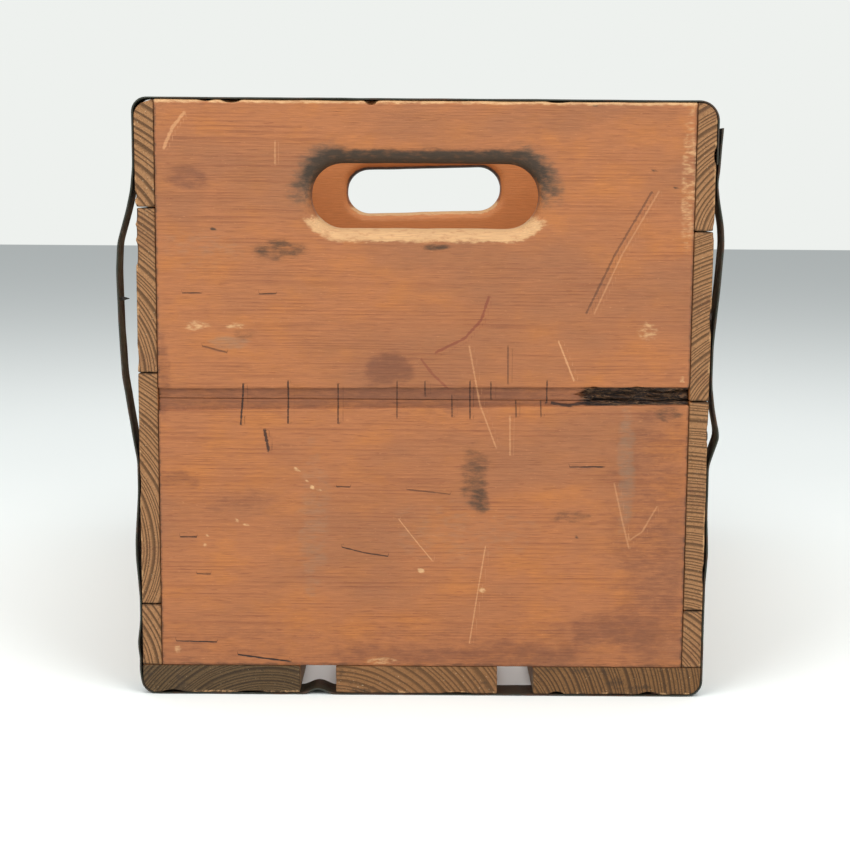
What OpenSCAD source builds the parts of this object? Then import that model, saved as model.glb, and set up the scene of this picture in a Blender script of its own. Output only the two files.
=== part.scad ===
// Old wooden bottle crate: two nailed ends with hand holes, board sides, an open
// slatted bottom and a flat steel strap nailed round each end.
// Millimetres. X runs across the crate, Y along it and Z up. The front end is at -Y.
// The origin is the middle of the footprint, on the floor under the straps.

/* [Crate] */
// Length over the two ends
crate_l = 476; // [380:1:560]
// Length of an end board, which is the clear width between the sides
end_w = 292; // [260:1:340]
// Height of the ends and sides, from the bottom slats to the rim
end_h = 313; // [300:1:360]
// Thickness of an end board
end_t = 19; // [18:0.5:25]
// Thickness of a side board
side_t = 11; // [10:0.5:15]

/* [Hand holes] */
// Length of a hand hole
hand_w = 124; // [100:1:150]
// Height of a hand hole
hand_h = 35; // [28:0.5:42]
// Depth of its middle below the rim
hand_drop = 51; // [42:0.5:65]
// Radius that eases its edges on both faces
hand_ease = 6; // [3:0.5:8]

/* [End joint] */
// Height of the joint between the two boards of an end, above the slats
joint_h = 151; // [120:1:190]
// Width of the shallow groove ploughed along the joint
plough_w = 12; // [8:0.5:16]
// Depth of that groove
plough_d = 2; // [1:0.5:4]
// Thickness of the tongue
tongue_t = 6; // [4:0.5:7]
// Height of the tongue
tongue_h = 6; // [4:0.5:9]
// Play on each side of the tongue and over it
tongue_play = 0.2; // [0.1:0.05:0.5]

/* [Side boards] */
// Width of the lowest board of the left side
left_foot_w = 35; // [28:1:42]
// Width of the next board of the left side
left_lower_w = 130; // [100:1:140]
// Width of the third board of the left side
left_upper_w = 90; // [75:1:95]
// Width of the lowest board of the right side
right_foot_w = 33; // [28:1:42]
// Width of the next board of the right side
right_lower_w = 118; // [100:1:130]
// Width of the third board of the right side
right_upper_w = 93; // [75:1:100]
// Gap that has opened between neighbouring side boards
seam_gap = 0.4; // [0.2:0.1:1]
// Radius worn on the outer rim edge of the left side
left_rim_r = 7; // [3:0.5:10]
// Radius worn on the outer rim edge of the right side
right_rim_r = 10; // [3:0.5:10]

/* [Bottom slats] */
// Thickness of a slat
slat_t = 16; // [12:0.5:20]
// Width of the left slat
left_slat_w = 88.5; // [70:0.5:100]
// Width of the middle slat
middle_slat_w = 91; // [70:0.5:100]
// Gap between neighbouring slats
slat_gap = 20; // [10:0.5:28]
// Radius worn on the two outer lower edges
slat_edge_r = 8; // [3:0.5:10]

/* [Straps] */
// Thickness of the steel strap
strap_t = 0.9; // [0.6:0.1:1.5]
// Width of the strap
strap_w = 18; // [14:0.5:18]
// Depth below the rim at which the lap's free end stops
lap_drop = 12.5; // [11:0.5:16]
// Length over which the strap's two ends lap
lap_l = 20.5; // [16:0.5:26]
// Air left between the two layers of the lap
lap_gap = 0.2; // [0.1:0.05:0.5]
// How far the lap's free end has sprung out beyond that
lap_curl = 1.4; // [0.5:0.1:3]
// How far the strap is pressed up into the gap beside the left slat
gap_rise = 3; // [0:0.5:6]
// Farthest that the strap stands off the left side, where it has come away
left_bow = 9.7; // [3:0.1:14]
// Farthest that it stands off the right side
right_bow = 5.4; // [2:0.1:8]

/* [Nails] */
// Shank diameter of the nails through the boards
nail_d = 2.4; // [2:0.1:3.2]
// Length of those nails
nail_l = 38; // [30:1:45]
// Diameter of their heads
nail_head_d = 5.6; // [4.5:0.1:6.4]
// Thickness of their heads
nail_head_t = 1; // [0.6:0.1:1.6]
// Distance of the two nail rows from the middle of the end's thickness
nail_row = 4.5; // [4.2:0.1:5.2]
// Shank diameter of the nails through the straps
strap_nail_d = 2.2; // [1.8:0.1:2.8]
// Length of those nails
strap_nail_l = 22; // [18:1:28]
// Diameter of their heads
strap_nail_head_d = 6; // [4.5:0.1:7]
// Thickness of a head that stands on the strap
strap_nail_head_t = 0.8; // [0.5:0.1:1.4]
// Play of a nail in its hole
nail_play = 0.05; // [0.02:0.01:0.15]

/* [Hidden] */
$fn = 48;

// Levels and faces that several pieces share
slat_z = strap_t;
deck_z = slat_z + slat_t;
rim_z = deck_z + end_h;
joint_z = deck_z + joint_h;
hand_z = rim_z - hand_drop;
body_x = end_w / 2 + side_t;
half_l = crate_l / 2;
end_mid_y = half_l - end_t / 2;
past = 1;

// Ends of the strap's lap, as shares of the strap's height
strap_h = rim_z - slat_z;
lap_to = 1 - lap_drop / strap_h;
lap_from = lap_to - lap_l / strap_h;

// Heights of the seams of each side, from the slats to the rim
left_seams = [
    deck_z,
    deck_z + left_foot_w,
    deck_z + left_foot_w + left_lower_w,
    deck_z + left_foot_w + left_lower_w + left_upper_w,
    rim_z
];
right_seams = [
    deck_z,
    deck_z + right_foot_w,
    deck_z + right_foot_w + right_lower_w,
    deck_z + right_foot_w + right_lower_w + right_upper_w,
    rim_z
];

// Edges of the three slats, from left to right
slat_x = [
    -body_x,
    -body_x + left_slat_w,
    -body_x + left_slat_w + slat_gap,
    -body_x + left_slat_w + slat_gap + middle_slat_w,
    -body_x + left_slat_w + 2 * slat_gap + middle_slat_w,
    body_x
];

// How the strap has come away from the sides: [share of the height, share of the bow]
strap_ease = 0.008;
left_shape = [
    [0.00, 0], [0.025, 0], [0.040, 0.10], [0.055, 0.04], [0.085, 0.16], [0.125, 0],
    [0.165, 0], [0.235, 0.19], [0.265, 0.19], [0.350, 0], [0.402, 0], [0.430, 0.18],
    [0.545, 0.78], [0.620, 0.92], [0.720, 1], [0.765, 0.92], [0.820, 0.38],
    [0.850, 0.14], [0.890, 0], [1.00, 0]
];
right_shape = [
    [0.00, 0], [0.190, 0], [0.250, 0.20], [0.310, 0], [0.398, 0], [0.448, 1],
    [0.495, 0.41], [0.535, 0.09], [0.600, 0.09], [0.690, 0.56], [0.770, 0.87],
    [0.800, 0.74], [0.840, 0.26], [lap_from - 0.03, 0.02]
];

// The same as distances out, with the lap at the right side's upper end
lap_lift = strap_t + lap_gap;
lap_mid_curl = 0.36 * lap_curl;
left_bulge = [for (q = left_shape) [q[0], q[1] * left_bow]];
right_bulge = concat(
    [for (q = right_shape) [q[0], q[1] * right_bow]],
    [
        [lap_from - 0.012, lap_lift],
        [lap_from + 0.020, lap_lift + lap_mid_curl],
        [lap_to, lap_lift + lap_curl]
    ]
);

// Heights of the strap's nails up each side, as shares of the height
left_strap_nails = [0.145, 0.375, 0.925];
right_strap_nails = [0.120, 0.355, 0.570, 0.930];
// Height of the nail that has pulled out with the strap
pulled_share = 0.672;
pulled_stub = 5;
dimple_d = 6.8;
dimple_h = 1.6;
// Places of the strap's nails across the rim, as shares of half the width
rim_strap_nails = [-0.75, 0, 0.75];

// How far the strap stands out at a share of the height, with its kinks eased
function bulge(table, share) =
    (lookup(share - strap_ease, table) + 2 * lookup(share, table)
        + lookup(share + strap_ease, table)) / 4;

function share_z(share) = slat_z + share * strap_h;

// One point of the strap: where it touches the body, which way is out, how far out
function side_point(sx, share, out) = [[sx * body_x, share_z(share)], [sx, 0], out];

function corner_points(cx, cz, r, from) =
    [for (a = [0 : 7.5 : 90])
        let(n = [cos(from + a), sin(from + a)]) [[cx, cz] + r * n, n, 0]];

// The strap runs up from under its lap, over the rim, down the left side, under the
// slats and up the right side to the free end of the lap
function strap_run(gap_x, left_r, right_r) =
    let(
        step = 0.01,
        low = slat_edge_r / strap_h,
        left_top = 1 - left_r / strap_h,
        right_top = 1 - right_r / strap_h,
        dip = slat_gap / 2
    )
    concat(
        [for (s = [lap_from : step : right_top]) side_point(1, s, 0)],
        corner_points(body_x - right_r, rim_z - right_r, right_r, 0),
        corner_points(-body_x + left_r, rim_z - left_r, left_r, 90),
        [for (s = [left_top - step / 2 : -step : low + step / 2])
            side_point(-1, s, bulge(left_bulge, s))],
        corner_points(-body_x + slat_edge_r, slat_z + slat_edge_r, slat_edge_r, 180),
        [for (i = [-6 : 6])
            let(x = gap_x + dip * i / 6)
            [[x, slat_z], [0, -1], -gap_rise * pow(cos(15 * i), 2)]],
        corner_points(body_x - slat_edge_r, slat_z + slat_edge_r, slat_edge_r, 270),
        [for (s = [low + step / 2 : step : lap_to - step / 2])
            side_point(1, s, bulge(right_bulge, s))],
        [side_point(1, lap_to, bulge(right_bulge, lap_to))]
    );

// Nails per board by its width, evenly spread
two_nail_w = 45;
three_nail_w = 80;
function nail_count(w) = w < two_nail_w ? 1 : w < three_nail_w ? 2 : 3;
function spread(from, to) =
    let(n = nail_count(to - from))
    [for (i = [0 : n - 1]) from + (to - from) * (i + 0.5) / n];
function side_nail_heights(seams) =
    [for (b = [0 : 3]) each spread(seams[b], seams[b + 1])];

// Two nails near the edges of each slat, kept inside the end board
slat_nail_in = 16;
board_end_in = 14;
slat_nail_out = side_t + board_end_in;
bottom_nail_x = [
    slat_x[0] + slat_nail_out, slat_x[1] - slat_nail_in,
    slat_x[2] + slat_nail_in, slat_x[3] - slat_nail_in,
    slat_x[4] + slat_nail_in, slat_x[5] - slat_nail_out
];
slat_mid_x = [for (i = [0, 2, 4]) (slat_x[i] + slat_x[i + 1]) / 2];

// A flat shape in X and Z, drawn out along Y
module along_y(from, to) {
    translate([0, to, 0])
        rotate([90, 0, 0])
            linear_extrude(to - from)
                children();
}

module block(x0, x1, y0, y1, z0, z1) {
    translate([x0, y0, z0])
        cube([x1 - x0, y1 - y0, z1 - z0]);
}

// A wire nail pointing down, its head's underside at z = 0. With play it is the hole.
module nail(shank_d, length, head_d, head_t, play = 0) {
    tip = 1.5 * shank_d;
    tip_d = shank_d / 6;
    cylinder(d = head_d + 2 * play, h = head_t + (play > 0 ? past : 0));
    translate([0, 0, -length + tip])
        cylinder(d = shank_d + 2 * play, h = length - tip);
    translate([0, 0, -length])
        cylinder(d1 = play > 0 ? shank_d : tip_d, d2 = shank_d + 2 * play, h = tip);
}

// A strap nail hammered flush: its head fills a cone in the strap
module flush_nail(play = 0) {
    translate([0, 0, -strap_t])
        cylinder(d1 = strap_nail_d + 2 * play, d2 = strap_nail_head_d + 2 * play, h = strap_t);
    translate([0, 0, -strap_nail_l])
        cylinder(d = strap_nail_d + 2 * play, h = strap_nail_l - strap_t);
}

// Nails through one side board into an end, in two staggered rows.
// sx is -1 on the left and 1 on the right, ey is -1 at the front and 1 at the rear.
module side_nails(sx, ey, play = 0) {
    heights = side_nail_heights(sx < 0 ? left_seams : right_seams);
    for (i = [0 : len(heights) - 1]) {
        y = ey * end_mid_y + (i % 2 == 0 ? nail_row : -nail_row);
        translate([sx * (body_x - nail_head_t), y, heights[i]])
            rotate([0, sx * 90, 0])
                nail(nail_d, nail_l, nail_head_d, nail_head_t, play);
    }
}

// Nails up through the slats into the lower end board
module bottom_nails(ey, play = 0) {
    for (i = [0 : len(bottom_nail_x) - 1]) {
        y = ey * end_mid_y + (i % 2 == 0 ? nail_row : -nail_row);
        translate([bottom_nail_x[i], y, slat_z + nail_head_t])
            rotate([180, 0, 0])
                nail(nail_d, nail_l, nail_head_d, nail_head_t, play);
    }
}

// The front strap's nails. The rear strap is the front one turned end for end.
module strap_nails(ey, play = 0) {
    mids = ey < 0 ? slat_mid_x : -slat_mid_x;
    rotate([0, 0, ey < 0 ? 0 : 180])
        translate([0, -end_mid_y, 0]) {
            strap_side_nails(-1, left_strap_nails, left_bulge, play);
            strap_side_nails(1, right_strap_nails, right_bulge, play);
            for (share = rim_strap_nails)
                translate([share * body_x, 0, rim_z + strap_t])
                    flush_nail(play);
            for (x = mids)
                translate([x, 0, 0])
                    rotate([180, 0, 0])
                        flush_nail(play);
            pulled_nail(play);
        }
}

module strap_side_nails(sx, shares, table, play) {
    for (share = shares)
        translate([sx * (body_x + bulge(table, share) + strap_t), 0, share_z(share)])
            rotate([0, sx * 90, 0])
                nail(strap_nail_d, strap_nail_l, strap_nail_head_d, strap_nail_head_t, play);
}

// The nail that came out of the wood and still hangs in the strap
module pulled_nail(play = 0) {
    translate([-(body_x + bulge(left_bulge, pulled_share) + strap_t), 0, share_z(pulled_share)])
        rotate([0, -90, 0])
            nail(strap_nail_d, pulled_stub, strap_nail_head_d, strap_nail_head_t, play);
}

// The empty hole that it left in the side and the end
module empty_nail_hole() {
    for (turn = [0, 180])
        rotate([0, 0, turn])
            translate([-body_x - past, -end_mid_y, share_z(pulled_share)])
                rotate([0, 90, 0])
                    cylinder(d = strap_nail_d, h = strap_nail_l - strap_t + past);
}

// The outline cut away where a hand hole's edge is eased, from the face inwards
module ease_profile(r) {
    difference() {
        translate([0, -past])
            square([r + hand_ease, hand_ease + past]);
        translate([r + hand_ease, hand_ease])
            circle(r = hand_ease);
    }
}

// Everything that a hand hole takes out of an end board with its faces at y0 and y1
module hand_hole(y0, y1) {
    r = hand_h / 2;
    reach = hand_w / 2 - r;
    translate([0, 0, hand_z]) {
        block(-reach, reach, y0 - past, y1 + past, -r, r);
        for (x = [-reach, reach])
            translate([x, y0 - past, 0])
                rotate([-90, 0, 0])
                    cylinder(r = r, h = y1 - y0 + 2 * past);
        for (face = [0, 1])
            translate([0, face == 0 ? y0 : y1, 0])
                mirror([0, face, 0]) {
                    for (x = [-reach, reach])
                        translate([x, 0, 0])
                            rotate([-90, 0, 0])
                                rotate_extrude()
                                    ease_profile(r);
                    for (flip = [0, 1])
                        mirror([0, 0, flip])
                            translate([-reach, 0, 0])
                                rotate([90, 0, 90])
                                    linear_extrude(2 * reach)
                                        rotate(90)
                                            mirror([0, 1, 0])
                                                ease_profile(r);
                }
    }
}

// An upper end board. ey is -1 at the front and 1 at the rear.
module end_upper_board(ey) {
    y_in = half_l - end_t;
    color("#9c6036")
        difference() {
            mirror([0, ey < 0 ? 1 : 0, 0])
                difference() {
                    block(-end_w / 2, end_w / 2, y_in, half_l, joint_z, rim_z);
                    hand_hole(y_in, half_l);
                    plough();
                    block(
                        -end_w / 2 - past, end_w / 2 + past,
                        end_mid_y - tongue_t / 2 - tongue_play,
                        end_mid_y + tongue_t / 2 + tongue_play,
                        joint_z - past, joint_z + tongue_h + tongue_play
                    );
                }
            end_nail_holes(ey);
        }
}

// A lower end board, with the tongue along its top edge
module end_lower_board(ey) {
    y_in = half_l - end_t;
    color("#94582f")
        difference() {
            mirror([0, ey < 0 ? 1 : 0, 0])
                difference() {
                    union() {
                        block(-end_w / 2, end_w / 2, y_in, half_l, deck_z, joint_z);
                        block(
                            -end_w / 2, end_w / 2,
                            end_mid_y - tongue_t / 2, end_mid_y + tongue_t / 2,
                            joint_z - past, joint_z + tongue_h
                        );
                    }
                    plough();
                }
            end_nail_holes(ey);
        }
}

// The shallow groove along the joint, in the outer face
module plough() {
    block(
        -end_w / 2 - past, end_w / 2 + past, half_l - plough_d, half_l + past,
        joint_z - plough_w / 2, joint_z + plough_w / 2
    );
}

module end_nail_holes(ey) {
    for (sx = [-1, 1])
        side_nails(sx, ey, nail_play);
    bottom_nails(ey, nail_play);
    strap_nails(ey, nail_play);
    empty_nail_hole();
}

// Wood to remove outside a rounded edge that runs along Y. dx and dz point outwards.
module edge_round(x, z, r, dx, dz) {
    difference() {
        translate([x - (dx > 0 ? r : past), -half_l - past, z - (dz > 0 ? r : past)])
            cube([r + past, crate_l + 2 * past, r + past]);
        translate([x - dx * r, -half_l - 2 * past, z - dz * r])
            rotate([-90, 0, 0])
                cylinder(r = r, h = crate_l + 4 * past);
    }
}

// A side board between two seams
module side_board(sx, seams, i) {
    x_in = end_w / 2;
    z0 = seams[i] + (i > 0 ? seam_gap / 2 : 0);
    z1 = seams[i + 1] - (i < 3 ? seam_gap / 2 : 0);
    color(i % 2 == 0 ? "#8b6a43" : "#7d5c38")
        difference() {
            block(
                sx < 0 ? -body_x : x_in, sx < 0 ? -x_in : body_x,
                -half_l, half_l, z0, z1
            );
            if (i == 3)
                edge_round(sx * body_x, rim_z, sx < 0 ? left_rim_r : right_rim_r, sx, 1);
            for (ey = [-1, 1]) {
                side_nails(sx, ey, nail_play);
                strap_nails(ey, nail_play);
            }
            empty_nail_hole();
        }
}

// A bottom slat between two edges. dx is -1 or 1 where an outer edge is worn round.
module bottom_slat(x0, x1, dx) {
    color("#6f5536")
        difference() {
            block(x0, x1, -half_l, half_l, slat_z, deck_z);
            if (dx != 0)
                edge_round(dx < 0 ? x0 : x1, slat_z, slat_edge_r, dx, -1);
            for (ey = [-1, 1]) {
                bottom_nails(ey, nail_play);
                strap_nails(ey, nail_play);
            }
        }
}

// A steel strap, nailed round an end and lapped on one side
module strap(ey) {
    gap_x = ey < 0 ? (slat_x[1] + slat_x[2]) / 2 : -(slat_x[3] + slat_x[4]) / 2;
    run = strap_run(
        gap_x, ey < 0 ? left_rim_r : right_rim_r, ey < 0 ? right_rim_r : left_rim_r
    );
    last = len(run) - 1;
    outline = concat(
        [for (q = run) q[0] + q[1] * q[2]],
        [for (i = [last : -1 : 0]) run[i][0] + run[i][1] * (run[i][2] + strap_t)]
    );
    color("#33362c")
        difference() {
            rotate([0, 0, ey < 0 ? 0 : 180]) {
                along_y(-end_mid_y - strap_w / 2, -end_mid_y + strap_w / 2)
                    polygon(outline);
                strap_dimple();
            }
            strap_nails(ey, nail_play);
        }
}

// Where the pulled nail had drawn the strap in round itself
module strap_dimple() {
    out = body_x + bulge(left_bulge, pulled_share);
    translate([-out - strap_t / 2, -end_mid_y, share_z(pulled_share)])
        rotate([0, 90, 0])
            cylinder(d = dimple_d, h = dimple_h + strap_t / 2);
}

module front_end_upper_board() { end_upper_board(-1); }
module front_end_lower_board() { end_lower_board(-1); }
module rear_end_upper_board() { end_upper_board(1); }
module rear_end_lower_board() { end_lower_board(1); }

module left_side_foot_board() { side_board(-1, left_seams, 0); }
module left_side_lower_board() { side_board(-1, left_seams, 1); }
module left_side_upper_board() { side_board(-1, left_seams, 2); }
module left_side_top_board() { side_board(-1, left_seams, 3); }

module right_side_foot_board() { side_board(1, right_seams, 0); }
module right_side_lower_board() { side_board(1, right_seams, 1); }
module right_side_upper_board() { side_board(1, right_seams, 2); }
module right_side_top_board() { side_board(1, right_seams, 3); }

module left_bottom_slat() { bottom_slat(slat_x[0], slat_x[1], -1); }
module middle_bottom_slat() { bottom_slat(slat_x[2], slat_x[3], 0); }
module right_bottom_slat() { bottom_slat(slat_x[4], slat_x[5], 1); }

module front_strap() { strap(-1); }
module rear_strap() { strap(1); }

module front_left_side_nails() { color("#4a3f36") side_nails(-1, -1); }
module front_right_side_nails() { color("#4a3f36") side_nails(1, -1); }
module rear_left_side_nails() { color("#4a3f36") side_nails(-1, 1); }
module rear_right_side_nails() { color("#4a3f36") side_nails(1, 1); }
module front_bottom_nails() { color("#4a3f36") bottom_nails(-1); }
module rear_bottom_nails() { color("#4a3f36") bottom_nails(1); }
module front_strap_nails() { color("#55483c") strap_nails(-1); }
module rear_strap_nails() { color("#55483c") strap_nails(1); }

front_end_upper_board();
front_end_lower_board();
rear_end_upper_board();
rear_end_lower_board();
left_side_foot_board();
left_side_lower_board();
left_side_upper_board();
left_side_top_board();
right_side_foot_board();
right_side_lower_board();
right_side_upper_board();
right_side_top_board();
left_bottom_slat();
middle_bottom_slat();
right_bottom_slat();
front_strap();
rear_strap();
front_left_side_nails();
front_right_side_nails();
rear_left_side_nails();
rear_right_side_nails();
front_bottom_nails();
rear_bottom_nails();
front_strap_nails();
rear_strap_nails();
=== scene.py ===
import functools
import itertools
import math
import bmesh
import bpy
import numpy as np
from mathutils import Matrix, Vector


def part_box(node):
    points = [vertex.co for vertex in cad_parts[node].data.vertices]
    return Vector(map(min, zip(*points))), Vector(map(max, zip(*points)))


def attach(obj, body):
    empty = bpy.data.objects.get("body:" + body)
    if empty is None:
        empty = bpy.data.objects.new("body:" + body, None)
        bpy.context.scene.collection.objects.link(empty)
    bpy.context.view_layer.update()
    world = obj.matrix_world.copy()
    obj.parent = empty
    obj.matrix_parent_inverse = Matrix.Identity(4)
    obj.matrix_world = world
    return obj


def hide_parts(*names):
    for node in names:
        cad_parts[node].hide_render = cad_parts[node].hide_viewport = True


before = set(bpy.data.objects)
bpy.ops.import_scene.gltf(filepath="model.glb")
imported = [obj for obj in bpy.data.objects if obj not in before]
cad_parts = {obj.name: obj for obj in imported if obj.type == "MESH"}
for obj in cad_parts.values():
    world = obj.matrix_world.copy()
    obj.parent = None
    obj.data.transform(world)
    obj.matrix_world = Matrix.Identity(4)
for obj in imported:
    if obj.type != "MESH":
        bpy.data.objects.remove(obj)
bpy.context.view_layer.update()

# Camera: a long lens just under a metre from the near end, a little below the rim's
# height, tipped down by some eight degrees and turned and rolled by fractions of one.
LENS = 71.06
SENSOR = 36
CAMERA_PLACE = (-0.00202, -1.1518, 0.2883)
CAMERA_PITCH, CAMERA_TURN, CAMERA_ROLL = (math.radians(a) for a in (-8.251, -0.174, -0.394))

camera_data = bpy.data.cameras.new("camera")
camera_data.lens = LENS
camera_data.sensor_width = SENSOR
camera = bpy.data.objects.new("camera", camera_data)
bpy.context.scene.collection.objects.link(camera)
camera.matrix_world = (
    Matrix.Translation(CAMERA_PLACE)
    @ Matrix.Rotation(CAMERA_TURN, 4, "Z")
    @ Matrix.Rotation(CAMERA_PITCH, 4, "X")
    @ Matrix.Rotation(CAMERA_ROLL, 4, "Y")
    @ Matrix.Rotation(math.radians(90), 4, "X")
)
bpy.context.scene.camera = camera

# End boards: each end is two pine boards with a tongue and groove between them. A
# shallow groove was ploughed along the joint, and the upper board has a hand hole with
# rounded edges. They are sawn and planed, then worn, stained and cracked by use, with
# painted shade and painted light at the hand hole and on their inner faces.
MM = 0.001


def box_mm(node_name):
    """Lowest and highest corner of a CAD node, in millimetres."""
    return [[c / MM for c in corner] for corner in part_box(node_name)]


def grid_lines(*stretches):
    """Grid lines through (start, step) stretches, and two more past each end."""
    lines = []
    for (start, step), (end, _) in zip(stretches, stretches[1:]):
        count = max(1, round((end - start) / step))
        lines.extend(np.linspace(start, end, count, endpoint=False))
    first, last = stretches[0][1], stretches[-1][1]
    low, high = stretches[0][0], stretches[-1][0]
    lines = [low - 2 * first, low - first] + lines + [high, high + last, high + 2 * last]
    return np.array(lines, np.float32)


def noise(seed, *place):
    """Smooth noise from -1 to 1, with a new value at each whole step of the place."""
    size = 64
    lattice = np.random.default_rng(seed).uniform(-1, 1, (size,) * len(place))
    lattice = lattice.astype(np.float32)
    cells = [np.floor(p).astype(np.int32) for p in place]
    shares = [p - c for p, c in zip(place, cells)]
    shares = [t * t * (3 - 2 * t) for t in shares]
    total = 0
    for corner in itertools.product((0, 1), repeat=len(place)):
        weight = 1
        for far, t in zip(corner, shares):
            weight = weight * (t if far else 1 - t)
        spot = tuple((c + far) % size for c, far in zip(cells, corner))
        total = total + weight * lattice[spot]
    return total


def rough(seed, octaves, *place):
    """Noise with finer and weaker noise added to it, about -1 to 1."""
    total = 0
    for i in range(octaves):
        total = total + noise(seed + i, *(p * 2**i for p in place)) / 2**i
    return total / 1.5


def smooth(low, high, value):
    """0 below low, 1 above high and an even turn between them."""
    t = np.clip((value - low) / (high - low), 0, 1)
    return t * t * (3 - 2 * t)


def meet(a, b, radius):
    """What lies inside both of two shapes, with the edge between them worn to a radius."""
    over_a, over_b = np.maximum(a + radius, 0), np.maximum(b + radius, 0)
    return np.minimum(np.maximum(a, b), -radius) + np.hypot(over_a, over_b)


def carve(name, xs, ys, zs, depth):
    """The surface where depth, known on the grid in millimetres, turns from below zero."""
    lines = (xs, ys, zs)
    cells = tuple(n - 1 for n in depth.shape)
    sums = [np.zeros(math.prod(cells)) for _ in range(3)]
    count = np.zeros(math.prod(cells))
    quads = []
    for axis in range(3):
        near = np.take(depth, range(depth.shape[axis] - 1), axis)
        far = np.take(depth, range(1, depth.shape[axis]), axis)
        at = np.argwhere((near < 0) != (far < 0))
        start, end = near[tuple(at.T)], far[tuple(at.T)]
        point = [lines[a][at[:, a]] for a in range(3)]
        step = lines[axis][at[:, axis] + 1] - point[axis]
        point[axis] = point[axis] + step * start / (start - end)
        around = []
        u, v = (axis + 1) % 3, (axis + 2) % 3
        for back_u, back_v in ((1, 1), (0, 1), (0, 0), (1, 0)):
            cell = at.copy()
            cell[:, u] -= back_u
            cell[:, v] -= back_v
            cell = np.ravel_multi_index(cell.T, cells)
            around.append(cell)
            count += np.bincount(cell, minlength=len(count))
            for a in range(3):
                sums[a] += np.bincount(cell, point[a], len(count))
        around = np.stack(around, 1)
        around[start > 0] = around[start > 0][:, ::-1]
        quads.append(around)
    used = np.flatnonzero(count)
    number = np.zeros(len(count), np.int32)
    number[used] = np.arange(len(used))
    corners = np.stack([s[used] / count[used] for s in sums], 1) * MM
    mesh = bpy.data.meshes.new(name)
    mesh.from_pydata(corners, [], number[np.concatenate(quads)])
    mesh.shade_smooth()
    piece = bpy.data.objects.new(name, mesh)
    bpy.context.scene.collection.objects.link(piece)
    return piece


def points_of(piece):
    """The x, y and z of a mesh's points, in millimetres."""
    flat = np.empty(len(piece.data.vertices) * 3, np.float32)
    piece.data.vertices.foreach_get("co", flat)
    return (flat.reshape(-1, 3) / MM).T


def paint(piece, name, amount):
    """Keeps a value for each point of the mesh, which the material reads by its name."""
    layer = piece.data.attributes.new(name, "FLOAT", "POINT")
    layer.data.foreach_set("value", np.asarray(amount, np.float32))


def beside(path, across, up):
    """Distance of points from a path in millimetres, and on which side they lie."""
    nearest = np.full(across.shape, 99.0)
    side = np.zeros(across.shape)
    for (a0, u0), (a1, u1) in zip(path, path[1:]):
        da, du = a1 - a0, u1 - u0
        length = math.hypot(da, du)
        along = ((across - a0) * da + (up - u0) * du) / length
        offset = ((across - a0) * du - (up - u0) * da) / length
        gap = np.hypot(offset, np.maximum(0, np.maximum(-along, along - length)))
        closer = gap < nearest
        side[closer] = offset[closer]
        nearest[closer] = gap[closer]
    return nearest, side


def score(piece, name, strokes, across, up, where):
    """Thin lines that stay sharp on a coarse mesh: half widths off the line, and strength."""
    reach = 3.0
    nearest = np.full(across.shape, reach)
    side, strength = np.full(across.shape, 9.0), np.zeros(across.shape)
    for half_width, force, path in strokes:
        gap, offset = beside(path, across, up)
        here = gap < nearest
        nearest[here] = gap[here]
        side[here] = offset[here] / half_width
        strength[here] = force * np.clip(reach - gap[here], 0, 1)
    paint(piece, name + "_side", side)
    paint(piece, name + "_force", strength * where)


def blot(across, up, centre, size, force, seed=1, ragged=0.35):
    """A soft, ragged patch round a centre. Size is half its width and half its height."""
    off = np.hypot((across - centre[0]) / size[0], (up - centre[1]) / size[1])
    off = off + ragged * rough(seed, 3, across / 9, up / 7)
    return force * (1 - smooth(0.6, 1.25, off))


def both(*amounts):
    """Several soft layers of one kind of dirt on each other."""
    left = 1
    for amount in amounts:
        left = left * (1 - np.clip(amount, 0, 1))
    return 1 - left


def colour(code):
    """An sRGB hex colour as linear RGBA."""
    parts = [int(code[i : i + 2], 16) / 255 for i in (1, 3, 5)]
    return [p / 12.92 if p <= 0.04045 else ((p + 0.055) / 1.055) ** 2.4 for p in parts] + [1]


def node(tree, kind, inputs=(), output=0, **settings):
    """Adds a shader node and gives one of its outputs. Inputs are values or sockets to link."""
    made = tree.nodes.new("ShaderNode" + kind)
    for name, value in settings.items():
        setattr(made, name, value)
    for name, value in inputs.items() if isinstance(inputs, dict) else enumerate(inputs):
        if isinstance(value, bpy.types.NodeSocket):
            tree.links.new(value, made.inputs[name])
        else:
            made.inputs[name].default_value = value
    return made.outputs[output] if made.outputs else None


SOFT_STEP = {"interpolation_type": "SMOOTHSTEP"}
TIMES = {"operation": "MULTIPLY"}
TIMES_PLUS = {"operation": "MULTIPLY_ADD"}


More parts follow.
